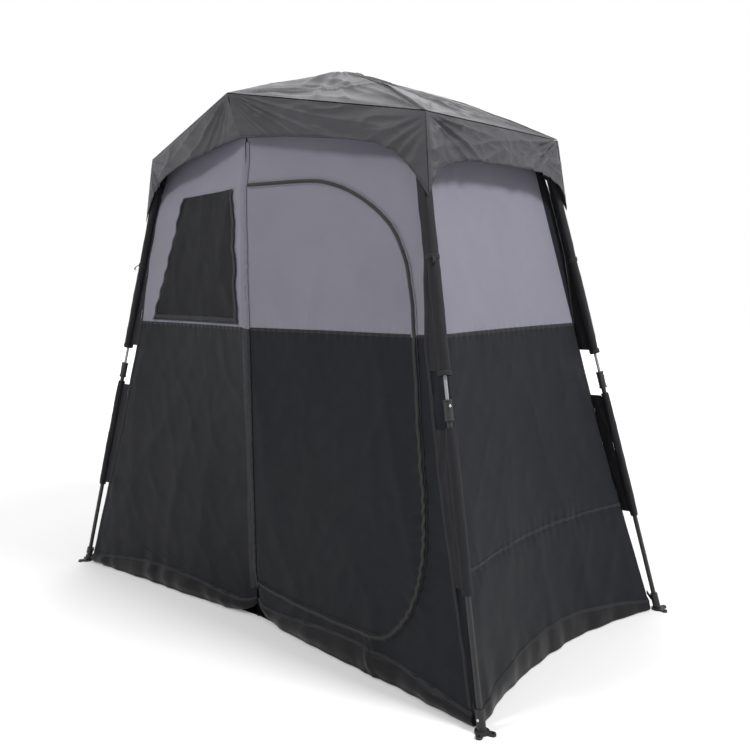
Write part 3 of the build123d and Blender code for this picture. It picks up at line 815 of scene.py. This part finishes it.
class TENT_OT_walls(bpy.types.Operator):
    """Make the front, back and end walls, with their seams"""

    bl_idname = "tent.walls"
    bl_label = "Walls"

    def execute(self, context):
        sizes = context.scene.tent_sizes
        for name, sides in CORNERS.items():
            self.make_long_wall(name, sides, sizes)
            self.make_corner(name, sides, sizes)
        for name, leg, side in (("right_end", "back_right", 1), ("left_end", "back_left", -1)):
            self.make_end_wall(name, leg, side, sizes)
        return {"FINISHED"}

    def make_long_wall(self, name, sides, sizes):
        surface = long_wall(sides, sizes)
        columns = sum(WALL_COLUMNS)
        rows = sum(count for count, _ in WALL_ROWS)

        def level(v):
            return track(v, WALL_ROWS)

        def place(u, v):
            z = level(v)
            inner, outer = WALL_COLUMNS
            x = track(u, [(0, DOOR_SEAM / 2), (inner, door_edge(z)), (outer, leg_edge_x(z))])
            if v > 1 - WALL_ROWS[-1][0] / rows:
                above = (z - DOOR_TOP_Z) / (WALL_TOP_Z - DOOR_TOP_Z)
                z = DOOR_TOP_Z + (wall_top(x) - DOOR_TOP_Z) * above
            return surface(x, z)

        def in_door(u, v):
            return u < WALL_COLUMNS[0] / columns and DOOR_FOOT_Z < level(v) < DOOR_TOP_Z

        def paint(u, v):
            z = level(v)
            low, high = MESH_SPAN
            if name == "front_left" and low < z < high:
                x = place(u, v).x
                if WINDOW_LOW.x + 0.03 + 0.17 * blend_line(z, low, high) < x < MESH_INNER_X:
                    return 3
            if z < 0.12 and z < hem_at(place(u, v).x * sides[0] / leg_edge_x(z), sizes):
                return 2
            return 0 if z > sizes.seam_z else 1

        piece = make_cloth(
            f"long_wall_{name}", (columns, rows), (0.96, 1.68), place, Vector((0, sides[1], 0)),
            ["wall_cloth", "lower_cloth", "floor_cloth", "mesh_cloth"],
            hole=in_door if name == "front_right" else None, paint=paint,
        )
        body, fold = f"upper_leg_{name}", wall_gather(sides, "x")
        hang(piece, body, "wall_fabric", fold, [f"wall_{name}"])
        self.make_tapes(name, sides, surface, body, fold, sizes)

    def make_tapes(self, name, sides, surface, body, fold, sizes):
        """Tapes over the middle seam, the colour seam and the floor seam."""
        outwards = Vector((0, sides[1], 0))

        def seam_z(u):
            return 0.09 + 1.60 * u

        def middle(u, v):
            if sides[0] * sides[1] < 0:
                return surface(-0.006 + 0.018 * v, seam_z(u), 0.0026 + 0.0012 * sin(pi * v))
            return surface(0.001 + 0.032 * v, seam_z(u), 0.0008 + 0.0008 * sin(pi * v))

        def colour(u, v):
            z = sizes.seam_z + 0.011 * (v - 0.5)
            start = door_edge(z) + 0.008 if name == "front_right" else DOOR_SEAM
            return surface(start + (leg_edge_x(z) - start) * u, z, 0.0008 + 0.0012 * sin(pi * v))

        def floor(u, v):
            z = hem_at(u, sizes) + 0.010 * (v - 0.4)
            x = DOOR_SEAM + (leg_edge_x(z) - DOOR_SEAM) * u
            return surface(x, z, 0.0012 + 0.0016 * sin(pi * v))

        def leg_side(u, v):
            z = 0.05 + 1.5 * u
            return surface(leg_edge_x(z) - 0.012 * v, z, 0.0010 + 0.0010 * sin(pi * v))

        ways = (
            ("middle", middle, 360, (1.60, 0.018 if sides[0] * sides[1] < 0 else 0.032)),
            ("colour", colour, 150, (0.85, 0.011)),
            ("floor", floor, 170, (1.0, 0.010)),
            ("leg", leg_side, 200, (1.52, 0.012)),
        )
        for kind, place, count, size in ways:
            hung = body, "wall_fabric", fold
            if kind == "middle" and name == "front_right":
                hung = "door_seam", "wall_fabric", seam_gather(), ["door_seam"]
            make_tape(
                hung, size[1], f"{kind}_tape_{name}", (count, 4), size, place, outwards,
                ["dark_tape", "grey_tape"],
                paint=lambda u, v: kind == "middle" and seam_z(u) > sizes.seam_z,
            )

    def make_corner(self, name, sides, sizes):
        """Strip that joins a long wall to the end wall behind the leg."""
        long, end = long_wall(sides, sizes), end_wall(sides[0], sizes)

        def place(u, v):
            z = 0.004 + 1.656 * v
            start = long(leg_edge_x(z) - 0.003, z)
            finish = end(sides[1] * end_edge(z)[0], z)
            point = start.lerp(finish, u)
            crease = 0.003 * wave(z * 6, u * 2, 33 + sides[0]) * sin(pi * u)
            return point + Vector((sides[0] * crease, sides[1] * crease, 0))

        make_tape(
            (f"upper_leg_{name}", "wall_fabric", wall_gather(sides, "x")), 0.060,
            f"corner_cloth_{name}", (10, 150), (0.06, 1.66), place, Vector((*sides, 0)),
            ["lower_cloth"],
        )

    def make_end_wall(self, name, leg, side, sizes):
        surface = end_wall(side, sizes)
        sides = CORNERS[leg]
        rows = 176

        def level(v):
            return 0.004 + (END_WALL_TOP - 0.004) * v

        def place(u, v):
            z = level(v)
            return surface(end_edge(z)[0] * (2 * u - 1), z)

        def paint(u, v):
            z = level(v)
            if z < hem_at(u, sizes):
                return 2
            return 0 if z > sizes.seam_z else 1

        piece = make_cloth(
            f"end_wall_{name}", (112, rows), (1.05, 1.64), place, Vector((side, 0, 0)),
            ["wall_cloth", "lower_cloth", "floor_cloth"], paint=paint,
        )
        body, fold = f"upper_leg_{leg}", wall_gather(sides, "y")
        hang(piece, body, "wall_fabric", fold, [f"wall_{name}"])

        def tape_at(height, width, lift):
            def on_tape(u, v):
                z = (height or hem_at(u, sizes)) + width * (v - 0.5)
                return surface(end_edge(z)[0] * (2 * u - 1), z, lift + lift * sin(pi * v))
            return on_tape

        for kind, height, lift in (
            ("colour", sizes.seam_z, 0.0010), ("gather", 0.398, 0.0014), ("floor", None, 0.0012),
        ):
            make_tape(
                (body, "wall_fabric", fold), 0.012,
                f"{kind}_tape_{name}", (190, 4), (1.0, 0.012), tape_at(height, 0.012, lift),
                Vector((side, 0, 0)), ["dark_tape"],
            )


class TENT_OT_door(bpy.types.Operator):
    """Make the D-shaped door panel and its zip"""

    bl_idname = "tent.door"
    bl_label = "Door"

    def execute(self, context):
        sizes = context.scene.tent_sizes
        sides = CORNERS["front_right"]
        surface = long_wall(sides, sizes)
        fold = seam_gather()
        low, high = DOOR_FOOT_Z + 0.002, DOOR_TOP_Z - 0.002

        def place(u, v):
            z = low + (high - low) * v
            return surface(DOOR_SEAM + (door_edge(z) - DOOR_SEAM - 0.002) * u, z)

        def paint(u, v):
            return 0 if low + (high - low) * v > sizes.seam_z else 1

        panel = make_cloth(
            "door_cloth", (96, 176), (0.75, 1.42), place, FRONT,
            ["wall_cloth", "lower_cloth"], paint=paint,
        )
        hang(panel, "door", "wall_fabric", fold, ["door_panel"])

        def colour(u, v):
            z = sizes.seam_z + 0.011 * (v - 0.5)
            x = DOOR_SEAM + (door_edge(z) - 0.014 - DOOR_SEAM) * u
            return surface(x, z, 0.001 + 0.0012 * sin(pi * v))

        hung = "door", "wall_fabric", fold
        size = 0.70, 0.011
        make_tape(hung, 0.011, "door_colour_tape", (130, 4), size, colour, FRONT, ["dark_tape"])
        self.make_zip(surface, wall_gather(sides, "x"), sizes.seam_z)
        return {"FINISHED"}

    def make_zip(self, surface, fold, seam_z):
        """Zip tape and coil round the D, as an even walk along its outline."""
        outline = [(DOOR_SEAM + 0.010, DOOR_TOP_Z)]
        outline += [(x, z) for z, x in reversed(DOOR_CURVE)]
        outline += [(0.45, 0.122), (0.30, 0.123), (0.15, 0.126), (DOOR_SEAM + 0.010, 0.130)]
        for _ in range(2):
            smooth = [outline[0]]
            for a, b in zip(outline, outline[1:]):
                smooth.append((a[0] * 0.75 + b[0] * 0.25, a[1] * 0.75 + b[1] * 0.25))
                smooth.append((a[0] * 0.25 + b[0] * 0.75, a[1] * 0.25 + b[1] * 0.75))
            outline = smooth + [outline[-1]]
        reach = [0.0]
        for a, b in zip(outline, outline[1:]):
            reach.append(reach[-1] + hypot(b[0] - a[0], b[1] - a[1]))
        length = reach[-1]

        def at(u):
            goal = u * length
            for start, end, a, b in zip(reach, reach[1:], outline, outline[1:]):
                if goal <= end or b == outline[-1]:
                    share = (goal - start) / (end - start)
                    step = Vector((b[0] - a[0], b[1] - a[1])).normalized()
                    return a[0] + (b[0] - a[0]) * share, a[1] + (b[1] - a[1]) * share, step

        def tape(u, v):
            x, z, step = at(u)
            off = 0.022 * (v - 0.5)
            ripple = 0.0008 * sin(tau * u * length / 0.045 + 3 * wave(u * 20, 0, 5))
            return surface(x - step.y * off, z + step.x * off, 0.0020 + ripple + 0.001 * sin(pi * v))

        def coil(u, v):
            x, z, step = at(u)
            angle = tau * v
            off, lift = 0.0055 * cos(angle), 0.0055 + 0.0020 * sin(angle)
            return surface(x - step.y * off, z + step.x * off, lift)

        body = "upper_leg_front_right"
        make_tape(
            (body, "dark_fabric", fold), 0.022,
            "zip_tape", (420, 6), (length, 0.022), tape, FRONT, ["zip_tape", "grey_tape"],
            paint=lambda u, v: at(u)[1] > seam_z,
        )
        teeth = make_cloth("zip_coil", (420, 8), (length, 0.016), coil, FRONT, ["zip_coil"])
        hang(teeth, body, "frame_plastic", fold)


class TENT_OT_window(bpy.types.Operator):
    """Make the window flap with its bound edges"""

    bl_idname = "tent.window"
    bl_label = "Window flap"

    def execute(self, context):
        sizes = context.scene.tent_sizes
        sides = CORNERS["front_left"]
        surface = long_wall(sides, sizes)
        fold = wall_gather(sides, "x")
        low, high = WINDOW_LOW.z, WINDOW_HIGH.z

        def edges(z):
            t = blend_line(z, low, high)
            outer = 0.655 - 0.180 * t + 0.011 * wave(z * 14, 1, 3) + 0.004 * sin(tau * z / 0.065)
            inner = 0.060 + 0.026 * t + 0.008 * wave(z * 13, 5, 3) + 0.002 * sin(tau * z / 0.06)
            return inner, outer

        def place(u, v):
            z = low + (high - low) * v
            inner, outer = edges(z)
            puff = 0.006 * sin(pi * u) * sin(pi * v) + 0.003 * wave(u * 6, v * 5, 4)
            return surface(inner + (outer - inner) * u, z, 0.0045 + puff)

        def paint(u, v):
            near_side = min(u * 0.55, (1 - u) * 0.55) < 0.016
            return 1 if near_side or v * 0.47 < 0.014 else 0

        flap = make_cloth(
            "window_cloth", (72, 60), (0.50, 0.475), place, FRONT,
            ["window_cloth", "sleeve_cloth"], paint=paint,
        )
        hang(flap, "window", "dark_fabric", fold, ["window_flap"])

        def side_tape(which):
            def on_tape(u, v):
                z = low + (high - low) * u
                x = edges(z)[which] + 0.014 * (v - 0.5)
                return surface(x, z, 0.0062 + 0.0014 * sin(pi * v))
            return on_tape

        def hem(u, v):
            z = low + 0.008 + 0.014 * v
            inner, outer = edges(z)
            return surface(inner + (outer - inner) * u, z, 0.0068 + 0.0016 * sin(pi * v))

        for name, way, length in (
            ("inner", side_tape(0), 0.475), ("outer", side_tape(1), 0.50), ("hem", hem, 0.59),
        ):
            make_tape(
                ("window", "dark_fabric", fold), 0.014,
                f"window_tape_{name}", (110, 4), (length, 0.014), way, FRONT, ["dark_tape"],
            )
        return {"FINISHED"}


# places along the leg, measured down from the shoulder
SLEEVE_SPANS = {"upper": (0.060, 0.733), "lower": (0.884, 1.348)}
SLEEVE_GATHER = 0.14
LOOP_STATION = 0.385
COLLARS = {"collar_top": 0.806, "collar_low": 0.861}
FOOT_RIVET_Z = 0.034


def leg_frame(sides):
    """Directions across a leg: along the hinge, outwards, and down the leg."""
    run = turned(LEG_RUN, sides)
    side = Vector((-run.y, run.x, 0)).normalized()
    return side, side.cross(run).normalized(), run


def leg_gather(name, sides):
    """Squash down the leg, towards the shoulder, as the lower tube slides up."""
    run = turned(LEG_RUN, sides)
    top = turned(PIVOT, sides) + run * SLEEVE_SPANS["upper"][0]
    return f"leg_slide_{name}", tuple(run), tuple(top), SLEEVE_GATHER


class TENT_OT_sleeves(bpy.types.Operator):
    """Make the fabric sleeves round the legs, with their bands and guy loops"""

    bl_idname = "tent.sleeves"
    bl_label = "Leg sleeves"

    def execute(self, context):
        for name, sides in CORNERS.items():
            seed = 50 + 3 * sides[0] + sides[1]
            self.make_sleeve(name, sides, "upper", SLEEVE_SPANS["upper"], 0.0175, seed)
            self.make_sleeve(name, sides, "lower", SLEEVE_SPANS["lower"], 0.0150, seed + 9)
            self.make_band(name, sides, LOOP_STATION, 0.0190, "band_high")
            self.make_band(name, sides, 0.726, 0.0186, "band_end")
            self.make_loop(name, sides)
            self.make_tie(name, sides)
        return {"FINISHED"}

    def make_sleeve(self, name, sides, kind, span, radius, seed):
        side, out, run = leg_frame(sides)
        pivot = turned(PIVOT, sides)

        def place(u, v):
            angle, station = tau * u, span[0] + (span[1] - span[0]) * v
            ends = 1 - 0.14 * exp(-min(v, 1 - v) * 18)
            pull = 0.0020 * wave(2 * cos(angle) + sin(angle), station * 7, seed)
            pull += 0.0012 * ridge(cos(angle) + station * 9, sin(angle) - station * 6, seed)
            reach = radius * ends + pull
            flat = side * cos(angle) * reach * 1.06 + out * sin(angle) * reach * 0.92
            return pivot + run * station + flat

        length = span[1] - span[0]
        piece = make_cloth(
            f"{kind}_sleeve_cloth_{name}", (28, 130), (tau * radius, length), place, out,
            ["sleeve_cloth"], finish=lambda sleeve: self.face_away(sleeve, pivot, run),
        )
        body = f"{kind}_leg_{name}"
        fold = leg_gather(name, sides) if kind == "upper" else None
        hang(piece, body, "dark_fabric", fold, [f"{kind}_sleeve_{name}"])
        top = span[0] - 0.040 if kind == "upper" else span[0] + 0.010
        self.make_web(name, sides, kind, (top, span[1] - 0.010), fold)

    def face_away(self, piece, pivot, run):
        """Turn a tube's faces away from the leg's line."""
        mesh = bmesh.new()
        mesh.from_mesh(piece.data)
        mesh.normal_update()
        facing = 0.0
        for face in mesh.faces:
            spot = face.calc_center_median() - pivot
            facing += face.normal.dot(spot - run * spot.dot(run))
        if facing < 0:
            bmesh.ops.reverse_faces(mesh, faces=mesh.faces[:])
        mesh.to_mesh(piece.data)
        mesh.free()

    def make_web(self, name, sides, kind, span, fold):
        """Flange of cloth between a sleeve and the wall's corner."""
        run = turned(LEG_RUN, sides)
        pivot = turned(PIVOT, sides)
        seed = 80 + sides[0] + 3 * sides[1] + len(kind)

        def place(u, v):
            station = span[0] + (span[1] - span[0]) * v
            start = pivot + run * station
            z = min(1.66, max(0.01, start.z))
            corner = turned(Vector((leg_edge_x(z), leg_edge_y(z), start.z)), sides)
            away = (corner - start) * (0.28 + 0.72 * u)
            slack = run.cross(away).normalized() * 0.004 * wave(station * 14, u * 2, seed)
            return start + away + slack * sin(pi * u)

        make_tape(
            (f"{kind}_leg_{name}", "dark_fabric", fold), 0.040,
            f"{kind}_sleeve_web_{name}", (8, 110), (0.040, span[1] - span[0]), place,
            Vector((0, sides[1], 0)), ["sleeve_cloth"],
        )

    def make_band(self, name, sides, station, radius, label):
        """Webbing band round the sleeve."""
        side, out, run = leg_frame(sides)
        pivot = turned(PIVOT, sides)

        def place(u, v):
            angle = tau * u
            across = 0.016 * (v - 0.5)
            reach = radius + 0.0012 * sin(pi * v)
            flat = side * cos(angle) * reach * 1.06 + out * sin(angle) * reach * 0.94
            return pivot + run * (station + across) + flat

        make_tape(
            (f"upper_leg_{name}", "dark_fabric", leg_gather(name, sides)), 0.016,
            f"{label}_{name}", (32, 6), (tau * radius, 0.016), place, out, ["webbing"],
            finish=lambda band: self.face_away(band, pivot, run),
        )

    def make_loop(self, name, sides):
        """Guy loop of webbing that stands out of the band."""
        side, _, run = leg_frame(sides)
        start = turned(PIVOT, sides) + run * LOOP_STATION
        away = Vector((sides[0], sides[1] * 0.9, -0.4)).normalized()

        def place(u, v):
            angle = pi * u
            reach = away * (0.018 + 0.020 * sin(angle)) + run * 0.011 * cos(angle)
            return start + reach + side * 0.010 * (v - 0.5)

        make_tape(
            (f"upper_leg_{name}", "dark_fabric", leg_gather(name, sides)), 0.010,
            f"guy_loop_{name}", (24, 4), (0.06, 0.010), place, side, ["webbing"],
        )

    def make_tie(self, name, sides):
        """Strap from the wall's bottom corner down to the foot."""
        edge = turned(Vector((leg_edge_x(0.05), leg_edge_y(0.05), 0.062)), sides)
        foot = turned(leg_at(0.030), sides)
        drop = foot - edge

        def place(u, v):
            sag = Vector((0, 0, -0.006 * sin(pi * u)))
            return edge + drop * u * 0.86 + sag + Vector((0, 0, 0.014 * (v - 0.5)))

        make_tape(
            (f"upper_leg_{name}", "dark_fabric", wall_gather(sides, "x")), 0.014,
            f"foot_tie_{name}", (16, 4), (0.05, 0.014), place, Vector((0, sides[1], 0)),
            ["webbing"],
        )


class TENT_OT_inside(bpy.types.Operator):
    """Make the divider between the rooms and the groundsheet"""

    bl_idname = "tent.inside"
    bl_label = "Divider and floor"

    def execute(self, context):
        self.make_divider()
        self.make_groundsheet()
        return {"FINISHED"}

    def make_divider(self):
        low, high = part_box("divider")

        def place(u, v):
            y, z = low.y + (high.y - low.y) * u, low.z + (high.z - low.z) * v
            inside = min(1.0, 9 * min(u, 1 - u))
            return Vector((0.006 * inside * wave(y * 6, z * 1.2, 61), y, z))

        piece = make_cloth(
            "divider_cloth", (90, 110), (0.94, 1.68), place, Vector((1, 0, 0)), ["lower_cloth"]
        )
        hang(piece, "root", "wall_fabric", (FOLD, (0, 1, 0), (0, 0, 1), GATHER), ["divider"])

    def make_groundsheet(self):
        low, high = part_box("groundsheet")

        def place(u, v):
            x = low.x + (high.x - low.x) * u
            half = 0.455 + 0.073 * min(1.0, abs(x) / high.x * 1.02)
            y = half * (2 * v - 1)
            bow = 1 - (y / high.y) ** 2
            x *= 1 - 0.090 * bow * blend_step(abs(x), 0.3, high.x)
            return Vector((x, y, 0.0022 + 0.0014 * wave(x * 5, y * 5, 8)))

        piece = make_cloth(
            "groundsheet_cloth", (150, 80), (2.0, 1.05), place, Vector((0, 0, 1)), ["floor_cloth"]
        )
        hang(piece, "root", "floor_fabric", (FOLD, (1, 0, 0), (0, 0, 0), GATHER), ["groundsheet"])


class TENT_OT_frame(bpy.types.Operator):
    """Give the poles, hub, fittings and feet their finishes, and add their rivets"""

    bl_idname = "tent.frame"
    bl_label = "Frame"

    FINISHES = {
        "rod_steel": "bare_rod",
        "tube_steel": "tube_coat",
        "pin_steel": "bright_steel",
        "button_metal": "bright_steel",
        "fitting_plastic": "moulded",
        "frame_plastic": "moulded",
    }

    def execute(self, context):
        slots = {part["node"]: part["material_slot"] for part in frame["record"]["subparts"]}
        for node, piece in frame["nodes"].items():
            finish = self.FINISHES.get(slots[node])
            if finish:
                for holder in piece.material_slots:
                    holder.material = MATERIALS[finish]
        for name, sides in CORNERS.items():
            self.make_rivet(name, sides)
            for label, station in COLLARS.items():
                self.make_collar(name, sides, station, label)
        return {"FINISHED"}

    def make_rivet(self, name, sides):
        """Domed rivet on the outer face of the boot."""
        run = turned(LEG_RUN, sides)
        face = Vector((0, sides[1], 0))
        face = (face - run * face.dot(run)).normalized()
        station = (PIVOT.z - FOOT_RIVET_Z) / -LEG_RUN.z
        seat = turned(PIVOT, sides) + run * station + face * 0.0128
        mesh = bmesh.new()
        bmesh.ops.create_uvsphere(mesh, u_segments=20, v_segments=12, radius=0.0042)
        bmesh.ops.scale(mesh, vec=(1, 1, 0.45), verts=mesh.verts[:])
        turn = face.to_track_quat("Z", "Y").to_matrix().to_4x4()
        bmesh.ops.transform(mesh, matrix=Matrix.Translation(seat) @ turn, verts=mesh.verts[:])
        rivet = put_in_scene(mesh, f"foot_rivet_{name}", "bright_steel")
        hang(rivet, f"lower_leg_{name}", "pin_steel")

    def make_collar(self, name, sides, station, label):
        """Raised ring at an end of the lock fitting."""
        run = turned(LEG_RUN, sides)
        mesh = bmesh.new()
        bmesh.ops.create_circle(mesh, segments=32, radius=0.0128)
        ring = bmesh.ops.extrude_edge_only(mesh, edges=mesh.edges[:])["geom"]
        raised = [item for item in ring if isinstance(item, bmesh.types.BMVert)]
        bmesh.ops.translate(mesh, vec=(0, 0, 0.005), verts=raised)
        bmesh.ops.recalc_face_normals(mesh, faces=mesh.faces[:])
        bmesh.ops.solidify(mesh, geom=mesh.faces[:], thickness=-0.0011)
        bmesh.ops.recalc_face_normals(mesh, faces=mesh.faces[:])
        turn = run.to_track_quat("Z", "Y").to_matrix().to_4x4()
        seat = turned(PIVOT, sides) + run * (station - 0.0025)
        bmesh.ops.transform(mesh, matrix=Matrix.Translation(seat) @ turn, verts=mesh.verts[:])
        collar = put_in_scene(mesh, f"{label}_{name}", "moulded")
        hang(collar, f"lower_leg_{name}", "fitting_plastic")


CAMERA_PLACE = (2.275, -2.311, 1.225)
CAMERA_ANGLES = (42.46, 6.65, -0.51)
CAMERA_LENS = 39.74


class TENT_OT_stage(bpy.types.Operator):
    """Set the floor, the lights and the camera"""

    bl_idname = "tent.stage"
    bl_label = "Stage"

    def execute(self, context):
        self.make_floor()
        self.make_lights(context.scene)
        self.make_camera(context.scene)
        return {"FINISHED"}

    def make_floor(self):
        mesh = bmesh.new()
        bmesh.ops.create_circle(mesh, cap_ends=True, segments=64, radius=14)
        data = bpy.data.meshes.new("floor")
        mesh.to_mesh(data)
        mesh.free()
        floor = bpy.data.objects.new("floor", data)
        bpy.context.scene.collection.objects.link(floor)
        material = bpy.data.materials.new("floor_paper")
        material.use_nodes = True
        tree = material.node_tree
        place = tree.nodes.new("ShaderNodeTexCoord").outputs["Object"]
        reach = add_node(tree, "VectorMath", {0: place}, operation="LENGTH").outputs["Value"]
        fade = add_node(tree, "MapRange", {0: reach, 1: 2.2, 2: 8.0, 3: 0.14, 4: 0.85})
        feed(tree, tree.nodes["Principled BSDF"], {
            "Base Color": (0.70, 0.70, 0.70, 1), "Roughness": 0.9,
            "Emission Color": (1, 1, 1, 1), "Emission Strength": fade.outputs[0],
        })
        data.materials.append(material)

    def make_lights(self, scene):
        world = bpy.data.worlds.new("studio")
        world.use_nodes = True
        tree = world.node_tree
        facing = {0: tree.nodes.new("ShaderNodeTexCoord").outputs["Generated"], 1: (-0.55, 0.78, 0.30)}
        facing = add_node(tree, "VectorMath", facing, operation="DOT_PRODUCT").outputs["Value"]
        level = math_node(tree, "MULTIPLY_ADD", facing, 0.55, 0.75)
        clamped = math_node(tree, "MAXIMUM", math_node(tree, "MINIMUM", level, 1.0), 0.34)
        seen = tree.nodes.new("ShaderNodeLightPath").outputs["Is Camera Ray"]
        strength = math_node(tree, "MAXIMUM", clamped, seen)
        feed(tree, tree.nodes["Background"], {0: (1, 1, 1, 1), 1: strength})
        scene.world = world
        for name, place, aim, size, power in (
            ("key", (4.4, 0.6, 5.2), (0, 0, 1.2), 1.2, 290),
            ("front", (-1.6, -4.4, 4.8), (0, 0, 1.2), 1.2, 150),
            ("back", (-3.0, 3.5, 4.0), (0, 0, 1.0), 3.0, 60),
        ):
            light = bpy.data.lights.new(name, "AREA")
            light.size = size
            light.energy = power
            lamp = bpy.data.objects.new(name, light)
            lamp.location = place
            lamp.rotation_euler = (Vector(aim) - Vector(place)).to_track_quat("-Z", "Y").to_euler()
            scene.collection.objects.link(lamp)
        scene.view_settings.view_transform = "Standard"

    def make_camera(self, scene):
        turn, tilt, lean = (radians(angle) for angle in CAMERA_ANGLES)
        ahead = Vector((-sin(turn) * cos(tilt), cos(turn) * cos(tilt), -sin(tilt)))
        level = Vector((cos(turn), sin(turn), 0))
        up = level.cross(ahead)
        right = level * cos(lean) + up * sin(lean)
        up = up * cos(lean) - level * sin(lean)
        lens = bpy.data.cameras.new("camera")
        lens.lens = CAMERA_LENS
        camera = bpy.data.objects.new("camera", lens)
        pose = Matrix((right, up, -ahead)).transposed().to_4x4()
        camera.matrix_world = Matrix.Translation(CAMERA_PLACE) @ pose
        scene.collection.objects.link(camera)
        scene.camera = camera


class TENT_PT_panel(bpy.types.Panel):
    """Lists the tent's sizes, colours and steps"""

    bl_idname = "TENT_PT_panel"
    bl_label = "Privacy shower tent"
    bl_space_type = "VIEW_3D"
    bl_region_type = "UI"
    bl_category = "Tent"

    def draw(self, context):
        for group in (context.scene.tent_sizes, context.scene.tent_colours):
            box = self.layout.box()
            for name in group.__annotations__:
                box.prop(group, name)
        for step in STEPS:
            self.layout.operator(step.bl_idname)


STEPS = (
    TENT_OT_stage, TENT_OT_materials, TENT_OT_frame, TENT_OT_fly, TENT_OT_skirts, TENT_OT_walls,
    TENT_OT_door, TENT_OT_window, TENT_OT_sleeves, TENT_OT_inside,
)
CLASSES = (TentSizes, TentColours, *STEPS, TENT_PT_panel)


def register():
    for item in CLASSES:
        bpy.utils.register_class(item)
    bpy.types.Scene.tent_sizes = bpy.props.PointerProperty(type=TentSizes)
    bpy.types.Scene.tent_colours = bpy.props.PointerProperty(type=TentColours)


def unregister():
    del bpy.types.Scene.tent_colours
    del bpy.types.Scene.tent_sizes
    for item in reversed(CLASSES):
        bpy.utils.unregister_class(item)


def main():
    register()
    for step in STEPS:
        family, action = step.bl_idname.split(".")
        getattr(getattr(bpy.ops, family), action)()


if __name__ == "__main__":
    main()
